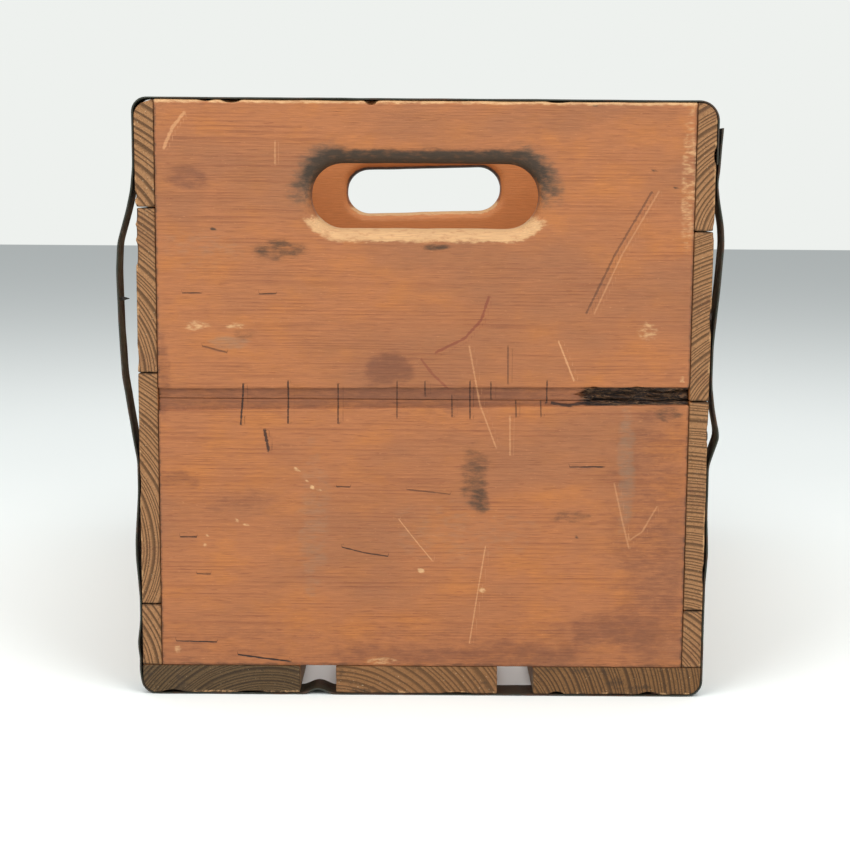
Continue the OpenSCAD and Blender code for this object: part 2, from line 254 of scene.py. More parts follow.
def weathered_pine(name, grain, pith, ring, face, end, seed):
    """Old pine, sawn, planed and never painted. The eye gets thin dark growth rings, short silky
    fibres, bands of ring on the end grain, dirt that has sunk in, and painted shade and light.
    Grain is the axis of the trunk, pith its place across that axis and ring its spacing, in
    mm. Face is the colours of spring wood, ring, warm patch and dull patch, and end is the
    colours of spring wood and ring where the board was sawn across."""
    made = bpy.data.materials.new(name)
    made.use_nodes = True
    tree = made.node_tree
    tree.nodes.clear()
    add = functools.partial(node, tree)

    along = np.array([axis == grain for axis in "XYZ"], float)
    spot = add("TexCoord", output="Object")
    spot = add("VectorMath", {0: spot, "Scale": 1 / MM}, operation="SCALE")
    moved = add("VectorMath", (spot, (seed * 71.3, seed * 43.1, seed * 57.7)))

    def patches(length, width, detail=2.0, roughness=0.5, low=0.0, high=1.0, most=1.0):
        """Noise in patches so many mm long with the grain and wide across it, from low up."""
        scale = along / length + (1 - along) / width
        place = add("VectorMath", (moved, scale), **TIMES)
        grains = {"Vector": place, "Scale": 1.0, "Detail": detail, "Roughness": roughness}
        return add("MapRange", (add("TexNoise", grains), low, high, 0.0, most), **SOFT_STEP)

    def worn(attribute, ragged=0.5, length=7.0, width=2.5):
        """A painted layer whose edge breaks up along the grain."""
        painted = add("Attribute", output="Fac", attribute_name=attribute)
        torn = patches(length, width, 4, 0.65, 0.25, 0.75)
        torn = add("Math", (torn, ragged, -0.5 * ragged), **TIMES_PLUS)
        torn = add("Math", (torn, add("MapRange", (painted, 0.0, 0.2), **SOFT_STEP)), **TIMES)
        return add("MapRange", (add("Math", (painted, torn)), 0.0, 1.0), **SOFT_STEP)

    def line(attribute):
        """A thin painted line, from how many half widths each place lies off it."""
        side = add("Attribute", output="Fac", attribute_name=attribute + "_side")
        force = add("Attribute", output="Fac", attribute_name=attribute + "_force")
        off = add("Math", (side,), operation="ABSOLUTE")
        off = add("Math", (patches(5, 1.2, 3), 1.4, off), **TIMES_PLUS)
        body = add("MapRange", (off, 1.2, 2.0, 1.0, 0.0), **SOFT_STEP)
        return add("Math", (body, force), **TIMES)

    # Growth rings round the pith, with a slow bend and uneven spacing
    out = add("VectorMath", (spot, [-p for p in pith]))
    out = add("VectorMath", (out, 1 - along), **TIMES)
    distance = add("VectorMath", (out,), "Value", operation="LENGTH")
    distance = add("Math", (patches(220, 60), 3.0, distance), **TIMES_PLUS)
    steps = {"W": add("Math", (distance, 1 / (5 * ring)), **TIMES), "Scale": 1.0, "Detail": 2.0}
    uneven = add("TexNoise", steps, noise_dimensions="1D")
    distance = add("Math", (uneven, 3.5 * ring, distance), **TIMES_PLUS)
    phase = add("Math", (add("Math", (distance, 1 / ring), **TIMES),), operation="FRACT")
    summer = add("MapRange", (phase, 0.3, 0.88), **SOFT_STEP)
    summer = add("Math", (summer, add("MapRange", (phase, 0.92, 1.0, 1.0, 0.0))), **TIMES)
    clear = patches(45, 6, 2, 0.5, 0.3, 0.8, 0.6)
    fibres = patches(10, 0.35, 3, 0.6, 0.25, 0.75)
    dashes = patches(9, 0.7, 2, 0.5, 0.6, 0.72, 0.5)
    crumbs = patches(1.2, 1.2, 3, 0.7)
    mottle = patches(26, 16, 5, 0.6)

    # The sawn end, and wood that has rotted to crumbs
    sawn = colour(end[0])
    for tint, amount in (
        (end[1], add("MapRange", (summer, 0.05, 0.85, 0.0, 0.9), **SOFT_STEP)),
        (end[1], patches(1.2, 1.2, 3, 0.7, 0.5, 0.75, 0.6)),
        ("#c9b08c", patches(0.9, 0.9, 2, 0.5, 0.68, 0.78, 0.7)),
    ):
        sawn = add("Mix", {0: amount, 6: sawn, 7: colour(tint)}, 2, data_type="RGBA")
    crumbly = {0: patches(6, 0.9, 4, 0.7, 0.45, 0.72), 6: colour("#1d0f08"), 7: colour("#8f6a48")}
    crumbly = add("Mix", crumbly, 2, data_type="RGBA")
    across = add("Attribute", output="Fac", attribute_name="sawn_end")
    rotten, slit, scratch = worn("rot", 0.8, 9, 1.4), line("slit"), line("scratch")

    # Wood, then the dirt and wear that it has taken, with painted shade and light among them, each over
    # the last
    wood = colour(face[0])
    for tint, amount in (
        (colour(face[2]), patches(26, 16, 5, 0.6, 0.42, 0.72, 0.8)),
        (colour(face[3]), patches(80, 45, 3, 0.5, 0.42, 0.66, 0.7)),
        (colour(face[1]), add("Math", (summer, clear), **TIMES)),
        (colour(face[1]), dashes),
        (colour("#bf8050"), patches(2.6, 0.8, 2, 0.5, 0.66, 0.76, 0.35)),
        (sawn, across),
        # Brighter orange on the inner faces: cleaner wood, and painted light from the open top
        (colour("#b8723c"), worn("inside", 0.4, 60, 20)),
        (colour("#5f3524"), add("Math", (worn("stain"), 0.6), **TIMES)),
        (colour("#84705a"), add("Math", (worn("grey"), 0.55), **TIMES)),
        # Grime, with the painted shade under the hand hole's upper lip in the same layer
        (colour("#38291a"), worn("grime")),
        (colour("#3c2316"), worn("rust")),
        (crumbly, rotten),
        # Pale wear, with the painted highlight on the hand hole's lower lip in the same layer
        (colour("#c69a6b"), worn("pale", 0.9, 5, 2)),
        (colour("#2a150b"), slit),
        (colour("#c58e60"), scratch),
        (colour("#6d2418"), add("Math", (line("crayon"), 0.7), **TIMES)),
    ):
        wood = add("Mix", {0: amount, 6: wood, 7: tint}, 2, data_type="RGBA")
    fine = add("Math", (fibres, 0.3, 0.85), **TIMES_PLUS)
    wood = add("Mix", {0: 1.0, 6: wood, 7: fine}, 2, data_type="RGBA", blend_type="MULTIPLY")

    # Raised rings and fibres, cut lines and torn ends, as heights in mm
    height = add("Math", (summer, 0.05), **TIMES)
    for what, high in (
        (fibres, 0.1),
        (dashes, -0.12),
        (add("Math", (crumbs, across), **TIMES), 0.9),
        (add("Math", (crumbs, rotten), **TIMES), 2.0),
        (slit, -0.5),
        (scratch, -0.12),
    ):
        height = add("Math", (what, high, height), **TIMES_PLUS)
    bump = add("Bump", {"Strength": 0.7, "Distance": MM, "Height": height})
    gloss = add("Math", (mottle, 0.2, add("Math", (across, 0.2, 0.52), **TIMES_PLUS)), **TIMES_PLUS)
    surface = {"Base Color": wood, "Roughness": gloss, "Normal": bump, "IOR": 1.45}
    add("OutputMaterial", {"Surface": add("BsdfPrincipled", surface)})
    return made


def dress(piece, material, slot, *nodes):
    """Gives a piece its material and puts it in the place of its CAD nodes."""
    piece.data.materials.append(material)
    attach(piece, "root")
    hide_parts(*nodes)


upper_low, upper_high = box_mm("front_end_upper_board")
deck_z = box_mm("front_end_lower_board")[0][2]
end_half = upper_high[0]
half_l, inner_y = -upper_low[1], -upper_high[1]
end_t = half_l - inner_y
joint_z, rim_z = upper_low[2], upper_high[2]

HAND_W, HAND_H, HAND_DROP = 124, 35, 51
HAND_EASE_END, HAND_EASE_MID = 4.6, 7.2
REAR_HAND_TILT = math.radians(1.8)
PLOUGH_DEPTH = 2.0
hand_z = rim_z - HAND_DROP


def hand_hole(x, z, tilt):
    """Distance outside a hand hole's outline, and how far above its middle."""
    along = x * math.cos(tilt) + (z - hand_z) * math.sin(tilt)
    above = (z - hand_z) * math.cos(tilt) - x * math.sin(tilt)
    reach = (HAND_W - HAND_H) / 2
    return np.hypot(np.maximum(np.abs(along) - reach, 0), above) - HAND_H / 2, above


def plough_edges(x, rising):
    """Middle height and half width of the groove, whose edges run up to the right."""
    share = (x / end_half + 1) / 2 * rising
    return joint_z - 0.6 + 3.6 * share, 6.1 - 1.1 * share


def end_board(name, z0, z1, front, seed):
    """One board of an end. The upper one reaches the rim and has the hand hole."""
    sign = -1 if front else 1
    step = 1.5 if front else 2.0
    upper = z1 > rim_z - 1
    xs = grid_lines((-end_half, 0.6), (3 - end_half, step), (end_half - 3, 0.6), (end_half, 0.6))
    ys = grid_lines((inner_y, 0.4), (inner_y + 3, 1.0), (half_l - 3.2, 0.4), (half_l, 0.4))
    ys = ys if sign > 0 else -ys[::-1]
    joint_band = 9 if front else 8
    if upper:
        zs = grid_lines((z0, 0.5), (z0 + joint_band, 1.0), (z1 - 4, 0.6), (z1, 0.6))
    else:
        zs = grid_lines((z0, 0.6), (z0 + 3, 1.0), (z1 - joint_band, 0.5), (z1, 0.5))
    x, y, z = np.meshgrid(xs, ys, zs, indexing="ij", sparse=True)
    o = half_l - np.abs(y)

    # Faces, a little hollow and dented
    dents = 0.5 * np.maximum(rough(seed, 2, x / 7, z / 4) - 0.55, 0)
    front_face = 0.12 + 0.1 * rough(seed + 4, 2, x / 60, z / 18) + dents - o
    back_face = o - end_t + 0.1 + 0.08 * noise(seed + 9, x / 40, z / 12)
    depth = np.maximum(front_face, back_face)
    joint_play = 0.04
    if upper:
        worn_top = 0.25 + 0.25 * rough(seed + 12, 3, x / 22, o / 14)
        edge = 1.7 + 0.9 * rough(seed + 16, 2, x / 15, o / 9)
        depth = meet(depth, z - z1 + worn_top, edge)
        depth = meet(depth, z0 + joint_play - z, 0.15)
    else:
        depth = meet(depth, z - z1 + joint_play, 0.15)
        depth = meet(depth, z0 + 0.1 - z, 0.7 + 0.3 * noise(seed + 18, x / 11, o / 9))
    depth = meet(depth, np.abs(x) - end_half + 0.12, 0.5)

    # Chips knocked off the rim: place, depth and reach
    if upper:
        chips = TOP_CHIPS if front else [(-a, b, c) for a, b, c in TOP_CHIPS[1:]]
        for place, deep, reach in chips:
            ball = np.sqrt(((x - place) / reach) ** 2 + ((z - rim_z) / deep) ** 2 + (o / 6) ** 2)
            depth = np.maximum(depth, (1 - ball) * deep)

    # The ploughed groove, ragged along its lips
    middle, half = plough_edges(x, 1.0 if front else 0.3)
    ragged = 0.3 * rough(seed + 20, 3, x / 6, z / 3)
    ragged = ragged + 0.9 * np.maximum(rough(seed + 24, 2, x / 8, z / 5) - 0.45, 0)
    groove = np.maximum(np.abs(z - middle) - half - ragged, o - PLOUGH_DEPTH + 0.15 * noise(5, x / 9))
    depth = meet(depth, -groove, 0.3)
    if front:
        rot_middle = 170.6 + 1.4 * noise(seed + 30, x / 13)
        rot_half = 4.3 + 1.3 * rough(seed + 31, 3, x / 7, z / 3)
        rot_half = rot_half * smooth(ROT_FROM - 4, ROT_FROM + 8, x)
        rot_depth = 4.6 + 3.2 * rough(seed + 33, 3, x / 8, z / 1.7)
        rot = np.maximum(np.abs(z - rot_middle) - rot_half, o - rot_depth)
        depth = meet(depth, -rot, 0.4)
    if upper:
        outside, above = hand_hole(x, z, 0 if front else REAR_HAND_TILT)
        ease = HAND_EASE_END + (HAND_EASE_MID - HAND_EASE_END) * smooth(0, 14, np.abs(above))
        outside = outside + 0.25 * rough(seed + 40, 2, x / 14, z / 9)
        depth = meet(depth, -outside, ease)
    depth = np.broadcast_to(depth, (len(xs), len(ys), len(zs))).astype(np.float32)
    return carve(name, xs, ys, zs, depth)


# Chips in the rim's outer edge: place, depth and half width
TOP_CHIPS = [(-104.5, 2.0, 5.5), (-118.0, 1.2, 4.0), (-29.3, 2.8, 3.4), (71.0, 1.0, 6.0)]
# Where the groove's right end has rotted
ROT_FROM = 86


def age_end_board(piece, front, seed):
    """Dirt, stains, scratches and wear on an end board's faces, and painted shade and light."""
    x, y, z = points_of(piece)
    o = half_l - np.abs(y)
    outer = 1 - smooth(2.5, 5.0, o)
    inner = smooth(end_t - 3.0, end_t - 1.5, o)
    tilt = 0 if front else REAR_HAND_TILT
    outside, above = hand_hole(x, z, tilt)
    rim_edge = smooth(rim_z - 2.6, rim_z - 0.8, z)
    groove_middle, groove_half = plough_edges(x, 1.0 if front else 0.3)
    in_groove = 1 - smooth(groove_half - 0.8, groove_half + 0.6, np.abs(z - groove_middle))

    # Hands have blackened the hole's upper edge and rubbed the lower one bare. The black is
    # also painted shade where the upper edge faces down, and the bare wood is also a painted
    # highlight where the lower edge faces up.
    ring = 1 - smooth(5.5, 8.5, outside)
    black = ring * smooth(5, 13, above) * 0.93
    halo = (1 - smooth(6, 17, outside)) * smooth(40, 58, np.abs(x)) * smooth(-12, 6, above)
    smear = (1 - smooth(5, 12, outside)) * smooth(8, 18, above) * 0.35
    bare = ring * smooth(-9, -14, above)
    bare = bare * (1 - 0.5 * smooth(60, 66, np.abs(x)))

    marks = FRONT_MARKS if front else random_marks(seed, end_half, deck_z, rim_z)
    layers = {"stain": [], "grime": [], "grey": [], "pale": []}
    for i, (kind, centre, size, force) in enumerate(marks["blots"]):
        layers[kind].append(blot(x, z, centre, size, force, seed + 50 + i))
    joints = 1 - smooth(0.3, 2.0, end_half - np.abs(x))
    low = 1 - smooth(0.5, 3.0, z - deck_z)
    # A stain fills the groove, and the face is darker towards its bottom edge
    layers["stain"] += [0.75 * in_groove, 0.25 * (1 - smooth(10, 45, z - deck_z))]
    # black is hand grime and painted shade under the hole's upper lip
    layers["grime"] += [black, 0.6 * halo, smear, 0.5 * joints, 0.35 * low * outer]
    layers["grey"] += [0.5 * halo]
    # bare is rubbed wood and a painted highlight on the hole's upward-facing lower lip
    layers["pale"] += [0.95 * bare, 0.75 * rim_edge * outer, 0.3 * rim_edge]
    for kind, amounts in layers.items():
        where = 1 if kind in ("pale", "grime") else outer
        paint(piece, kind, both(*amounts) * where * (1 - 0.9 * inner))
    if front:
        rot = in_groove * smooth(ROT_FROM - 3, ROT_FROM + 5, x) * smooth(0.8, 2.2, o)
        paint(piece, "rot", rot)
    # The inner face gets a brighter orange: cleaner wood, and painted light from the open top
    paint(piece, "inside", inner)
    for kind in ("slit", "scratch", "crayon"):
        score(piece, kind, marks[kind], x, z, outer)


# Marks on the photographed face, across and up in mm. Blots: kind, centre, half size, force
FRONT_MARKS = {
    "blots": [
        ("stain", (-129, 288), (12, 7), 0.6),
        ("stain", (-20.3, 184), (15, 10), 0.85),
        ("stain", (-143, 178), (4, 24), 0.6),
        ("stain", (128, 95), (26, 80), 0.45),
        ("stain", (-10, 24), (40, 6), 0.5),
        ("stain", (50, 24), (40, 8), 0.55),
        ("stain", (108, 38), (30, 9), 0.6),
        ("stain", (-135, 123), (11, 6), 0.5),
        ("stain", (-95, 110), (25, 9), 0.3),
        ("stain", (10, 165), (28, 6), 0.35),
        ("grime", (-80, 249.5), (16, 5), 0.5),
        ("grime", (28.7, 124), (8, 19), 0.45),
        ("grime", (32, 112), (6, 9), 0.4),
        ("grime", (136.6, 160.6), (8, 4), 0.4),
        ("grime", (7, 251.8), (8, 1.8), 0.6),
        ("grime", (81.6, 103), (13, 4), 0.3),
        ("grime", (-97, 204), (6, 3), 0.25),
        ("grime", (-114.7, 260.6), (1.4, 0.9), 0.8),
        ("grime", (90.7, 328), (1.4, 0.9), 0.8),
        ("grime", (123.2, 293.3), (1.2, 0.8), 0.8),
        ("grime", (135.3, 284.3), (1.2, 1.0), 0.8),
        ("grime", (85.7, 91.8), (1.2, 0.9), 0.8),
        ("grey", (-108, 199), (13, 3.5), 0.5),
        ("grey", (112, 130), (5, 38), 0.5),
        ("grey", (-60, 105), (9, 45), 0.3),
        ("grey", (20, 95), (40, 20), 0.2),
        ("grey", (-120, 250), (25, 12), 0.2),
        ("pale", (-123, 208), (8, 2.5), 0.45),
        ("pale", (-103, 208), (5, 1.5), 0.45),
        ("pale", (122, 206), (6, 6), 0.3),
        ("pale", (-22.5, 20), (8, 2.6), 0.4),
        ("pale", (-137, 25.6), (2.4, 1.8), 0.7),
        ("pale", (142.5, 290), (4, 40), 0.3),
        ("pale", (-69.8, 128.6), (1.1, 1.0), 0.9),
        ("pale", (-64.8, 122.4), (0.9, 0.9), 0.9),
        ("pale", (-61.5, 119.1), (0.9, 0.9), 0.9),
        ("pale", (-57.1, 117.4), (1.2, 0.9), 0.9),
        ("pale", (-103.2, 100.2), (0.9, 0.9), 0.9),
        ("pale", (-98.2, 97.4), (1.2, 1.0), 0.9),
        ("pale", (-119.4, 91.6), (1.0, 0.8), 0.9),
        ("pale", (-121.1, 85.9), (0.9, 0.9), 0.9),
        ("pale", (-0.9, 71.9), (1.3, 1.2), 0.9),
        ("pale", (33.2, 61.2), (1.8, 1.2), 0.8),
        ("pale", (141.6, 180), (1.6, 1.4), 0.6),
        ("pale", (52, 264), (14, 3), 0.5),
    ],
    "slit": [
        (0.35, 0.8, [(-129.8, 225.9), (-123.8, 225.9)]),
        (0.35, 0.8, [(-88.4, 225.6), (-83.0, 225.7)]),
        (0.5, 0.6, [(-119.8, 196.5), (-109.4, 193.8)]),
        (0.5, 0.5, [(45.9, 195.9), (46.1, 179.4)]),
        (0.8, 0.9, [(-87.3, 149.1), (-85.7, 140.8)]),
        (0.4, 0.9, [(-132.7, 90.4), (-127.7, 90.4)]),
        (0.35, 0.8, [(-124.1, 69.4), (-120.2, 69.4)]),
        (0.35, 0.8, [(-46.0, 119.2), (-42.2, 119.2)]),
        (0.35, 0.9, [(-43.3, 84.7), (-32.1, 81.9), (-21.0, 80.3)]),
        (0.35, 1.0, [(-136.3, 30.8), (-117.3, 30.4)]),
        (0.5, 1.0, [(-101.7, 22.9), (-89.9, 21.3), (-75.9, 19.6)]),
        (0.4, 0.9, [(82.7, 131.2), (97.6, 131.3)]),
        (0.35, 0.6, [(-6.7, 117.7), (13.2, 115.6)]),
        (0.6, 0.5, [(121.4, 280.4), (103.2, 248.1), (89.2, 218.1)]),
        (0.5, 0.95, [(-99.2, 174.0), (-100.5, 155.7)]),
        (0.45, 0.9, [(-74.5, 175.8), (-74.6, 156.4)]),
        (0.4, 0.8, [(-47.1, 174.4), (-47.1, 156.6)]),
        (0.35, 0.7, [(-14.7, 176.2), (-14.7, 159.6)]),
        (0.35, 0.7, [(0.6, 176.3), (0.7, 171.9)]),
        (0.35, 0.7, [(15.5, 168.1), (15.6, 160.9)]),
        (0.4, 0.8, [(25.3, 176.5), (25.5, 159.9)]),
        (0.35, 0.7, [(36.8, 176.0), (36.9, 170.5)]),
        (0.35, 0.7, [(50.7, 165.6), (50.8, 161.1)]),
        (0.35, 0.7, [(64.4, 165.7), (64.5, 161.2)]),
        (0.4, 0.8, [(67.6, 176.8), (67.7, 168.5)]),
        (0.9, 0.9, [(72.1, 166.3), (79.3, 165.2), (87.0, 166.4)]),
    ],
    "scratch": [
        (0.9, 0.7, [(-130.6, 321.2), (-136.1, 314.3), (-140.0, 305.3)]),
        (0.5, 0.5, [(-80.9, 305.7), (-80.9, 297.7)]),
        (0.5, 0.8, [(74.3, 198.8), (77.7, 190.6), (81.7, 180.7)]),
        (0.35, 0.7, [(-12.2, 99.6), (-4.3, 89.5), (4.1, 79.3)]),
        (0.5, 0.5, [(47.5, 157.2), (47.8, 139.4)]),
        (0.4, 0.6, [(34.6, 84.1), (31.0, 61.2), (26.8, 32.4)]),
        (0.5, 0.5, [(25.1, 195.8), (30.9, 165.5), (39.5, 143.3)]),
        (0.5, 0.4, [(125.2, 280.5), (107.0, 248.1), (93.6, 218.1)]),
        (0.5, 0.4, [(128.7, 107.3), (121.8, 94.8), (115.2, 90.3)]),
        (0.5, 0.4, [(106.2, 120.1), (110.5, 101.6), (114.2, 87.4)]),
    ],
    "crayon": [
        (0.8, 0.8, [(34.5, 223), (31, 212), (22, 202), (8, 195)]),
        (0.7, 0.6, [(-0.5, 189), (5, 182), (12.5, 175)]),
    ],
}


def random_marks(seed, half_width, low, high):
    """Blots, slits and scratches on a face that no photograph shows, spread at random."""
    rng = np.random.default_rng(seed)

    def place():
        return rng.uniform(-0.95 * half_width, 0.95 * half_width), rng.uniform(low + 5, high - 8)

    area = 2 * half_width * (high - low) / 10000
    marks = {"blots": [], "slit": [], "scratch": [], "crayon": []}
    for kind, count, sizes, force in (
        ("stain", 1.3, (10, 28), 0.5),
        ("grime", 1.0, (5, 16), 0.4),
        ("grey", 1.0, (10, 30), 0.4),
        ("pale", 1.2, (0.8, 3), 0.8),
    ):
        for _ in range(round(count * area)):
            size = rng.uniform(*sizes)
            shape = (size * rng.uniform(0.8, 2.0), size * rng.uniform(0.4, 0.9))
            marks["blots"].append((kind, place(), shape, force * rng.uniform(0.5, 1.2)))
    for kind, count in (("slit", 1.4), ("scratch", 1.2)):
        for _ in range(round(count * area)):
            a, u = place()
            steep = rng.normal(0, 0.06) if kind == "slit" else rng.uniform(-1.5, 1.5)
            length = rng.uniform(5, 26) / math.hypot(1, steep)
            path = [(a, u), (a + length, u + steep * length)]
            marks[kind].append((rng.uniform(0.3, 0.55), rng.uniform(0.4, 0.9), path))
    return marks


END_FACE = ("#a2643a", "#7d4527", "#ad6a34", "#8f5b3a")
END_SAWN = ("#9b7047", "#5d3d1f")
for end, front, seed in (("front", True, 11), ("rear", False, 211)):
    for part, z0, z1, more in (("lower", deck_z, joint_z, 0), ("upper", joint_z, rim_z, 300)):
        board = end_board(f"{end}_{part}_end_of_pine", z0, z1, front, seed + more)
        age_end_board(board, front, seed + more)
        pith = (0, -190 if front else 210, joint_z - 420 - more / 10)
        pine = weathered_pine(
            f"weathered_pine_{end}_{part}", "X", pith, 2.3, END_FACE, END_SAWN, seed + more
        )
        dress(board, pine, "end_board", f"{end}_end_{part}_board")

# Side boards: four pine boards of random width on each side, sawn and planed, nailed into the
# edges of the ends. Their sawn ends show beside the photographed end as upright strips of
# growth rings, and the open seams, chipped corners and worn rim are from years of handling.
SIDE_T = 11
SEAM_PLAY = 0.2
# How far the left top board's rim has worn down at its outer front corner
RIM_SLOPE = 3.4
# Slope of the rings on the sawn end in degrees, radius and spacing of the rings in mm
LEFT_RINGS = {
    "foot": (-66, 60, 3.0),
    "lower": (-63, 70, 1.9),
    "upper": (-50, 75, 2.1),
    "top": (-37, 70, 3.7),
}
RIGHT_RINGS = {
    "foot": (-40, 55, 2.4),
    "lower": (-6, 90, 2.0),
    "upper": (30, 80, 1.8),
    "top": (42, 60, 2.2),
}
LEFT_RIM_R, RIGHT_RIM_R = 7, 10
# Chips out of the outer corner of the photographed end: height, reach up and down, depth
LEFT_CHIPS = [(279, 2.5, 1.6), (268, 5, 1.8), (258, 4, 1.4), (247, 6, 1.9), (190, 5, 1.0), (120, 8, 0.9)]
RIGHT_CHIPS = [(302, 5, 1.5), (262, 4, 1.2), (214, 7, 1.2), (150, 6, 1.0), (70, 6, 1.0)]
body_x = box_mm("right_side_top_board")[1][0]


def chip(depth, *reaches):
    """Knocks a chip out of a board, from distances off its middle and how far it reaches."""
    off = np.sqrt(sum((distance / reach) ** 2 for distance, reach in reaches))
    return np.maximum(depth, (1 - off) * min(reach for _, reach in reaches))


def side_board(name, side, part, low, high, seed):
    """One board of a side, with its grain along Y. Side is -1 on the left and 1 on the right."""
    z0, z1 = low[2], high[2]
    ts = ((0, 0.5), (3.5, 1.2), (SIDE_T - 2, 0.5), (SIDE_T, 0.5))
    ts = body_x - grid_lines(*ts)
    xs = np.sort(side * ts)
    ys = grid_lines((-half_l, 0.6), (9 - half_l, 3.2), (half_l - 9, 0.6), (half_l, 0.6))
    zs = grid_lines((z0, 0.5), (z0 + 2.5, 1.3), (z1 - 2.5, 0.5), (z1, 0.5))
    x, y, z = np.meshgrid(xs, ys, zs, indexing="ij", sparse=True)
    t, e = body_x - np.abs(x), half_l - np.abs(y)

    outer = 0.15 + 0.12 * rough(seed, 2, y / 60, z / 14) - t
    outer = outer + 0.5 * np.maximum(rough(seed + 3, 2, y / 9, z / 4) - 0.55, 0)
    inner = t - SIDE_T + 0.12 + 0.08 * noise(seed + 6, y / 50, z / 12)
    ends = 0.3 + 0.22 * rough(seed + 8, 3, x / 3, z / 2.5) - e
    depth = np.maximum(outer, inner)
    depth = meet(depth, z0 + SEAM_PLAY * 0.5 - z, 0.5 + 0.25 * noise(seed + 11, y / 13, t / 5))
    top = z - z1 + SEAM_PLAY * 0.5 + 0.15 * rough(seed + 12, 2, y / 20, t / 6)
    if part == "top":
        rim_r = LEFT_RIM_R if side < 0 else RIGHT_RIM_R
        slope = RIM_SLOPE * smooth(24, 4, half_l + y) if side < 0 else 0.8
        top = top + slope * np.clip(1 - t / SIDE_T, 0, 1)
        depth = meet(inner, top, 1.0)
        depth = np.maximum(depth, meet(outer, top, rim_r - 1.5))
        depth = np.maximum(depth, z0 + SEAM_PLAY * 0.5 - z)
    else:
        depth = meet(depth, top, 0.5 + 0.25 * noise(seed + 15, y / 13, t / 5))
    worn = 0.9 + 0.5 * rough(seed + 18, 2, z / 6, t / 6)
    depth = meet(depth, ends, worn)
    for height, reach, deep in LEFT_CHIPS if side < 0 else RIGHT_CHIPS:
        off = z - height + 1.5 * noise(seed + 20, z / 3)
        depth = chip(depth, (t, deep), (half_l + y, 3.5 * deep), (off, reach))
    depth = np.broadcast_to(depth, (len(xs), len(ys), len(zs))).astype(np.float32)
    return carve(name, xs, ys, zs, depth)


def age_side_board(piece, low, high, seed):
    """Dirt and wear on a side board: black seams and corners, pale torn edges, handling; painted light
    inside.
    """
    x, y, z = points_of(piece)
    t, e = body_x - np.abs(x), half_l - np.abs(y)
    outer, inner = 1 - smooth(1.0, 2.5, t), smooth(SIDE_T - 2.5, SIDE_T - 1.0, t)
    sawn = 1 - smooth(0.7, 1.3, e)
    seam = np.minimum(z - low[2], high[2] - z)
    near_seam = 1 - smooth(0.2, 1.6, seam)
    corner = (1 - smooth(0.2, 1.8, t)) * (1 - smooth(0.3, 1.6, e))
    marks = random_marks(seed, half_l, low[2] - 8, high[2] + 8)
    layers = {"stain": [], "grime": [], "grey": [], "pale": []}
    for i, (kind, centre, size, force) in enumerate(marks["blots"]):
        layers[kind].append(blot(y, z, centre, size, force, seed + 50 + i) * outer)
    strap_band = (1 - smooth(17, 20, e)) * smooth(0.8, 3, e) * outer
    layers["rust"] = [0.45 * strap_band]
    layers["grime"] += [0.5 * near_seam, 0.25 * outer * (1 - smooth(20, 70, z))]
    layers["pale"] += [0.85 * corner * smooth(-0.1, 0.5, rough(seed + 30, 3, z / 5, y / 5))]
    layers["stain"] += [0.3 * sawn * smooth(0.1, 0.6, rough(seed + 33, 2, z / 14))]
    for kind, amounts in layers.items():
        paint(piece, kind, both(*amounts) * (1 - 0.85 * inner * (1 - sawn)))
    paint(piece, "sawn_end", sawn)
    # The inner face gets a brighter orange: cleaner wood, and painted light from the open top
    paint(piece, "inside", inner * (1 - sawn))
    for kind in ("slit", "scratch"):
        score(piece, kind, marks[kind], y, z, outer)


def ring_pith(low, high, slope, radius):
    """Place of the pith whose rings cross the middle of a sawn end at a slope in degrees."""
    x, z = (low[0] + high[0]) / 2, (low[2] + high[2]) / 2
    return x + radius * math.sin(math.radians(slope)), 0, z - radius * math.cos(math.radians(slope))


SIDE_FACE = ("#9c6f45", "#6f4728", "#a87a4a", "#86684a")
SIDE_SAWN = ("#9c7048", "#55381c")
for side_name, side, rings in (("left", -1, LEFT_RINGS), ("right", 1, RIGHT_RINGS)):
    for number, (part, (slope, radius, spacing)) in enumerate(rings.items()):
        node_name = f"{side_name}_side_{part}_board"
        low, high = box_mm(node_name)
        seed = 401 + 50 * number + 500 * (side > 0)
        board = side_board(f"{side_name}_{part}_board_of_pine", side, part, low, high, seed)
        age_side_board(board, low, high, seed)
        pith = ring_pith(low, high, slope, radius)
        pine = weathered_pine(
            f"weathered_pine_{side_name}_{part}", "Y", pith, spacing, SIDE_FACE, SIDE_SAWN, seed
        )
        dress(board, pine, "side_board", node_name)

# Side nails: flat-headed wire nails through the side boards into the end boards, driven
# flush. They were bright drawn steel, and have rusted brown, with dark pits.


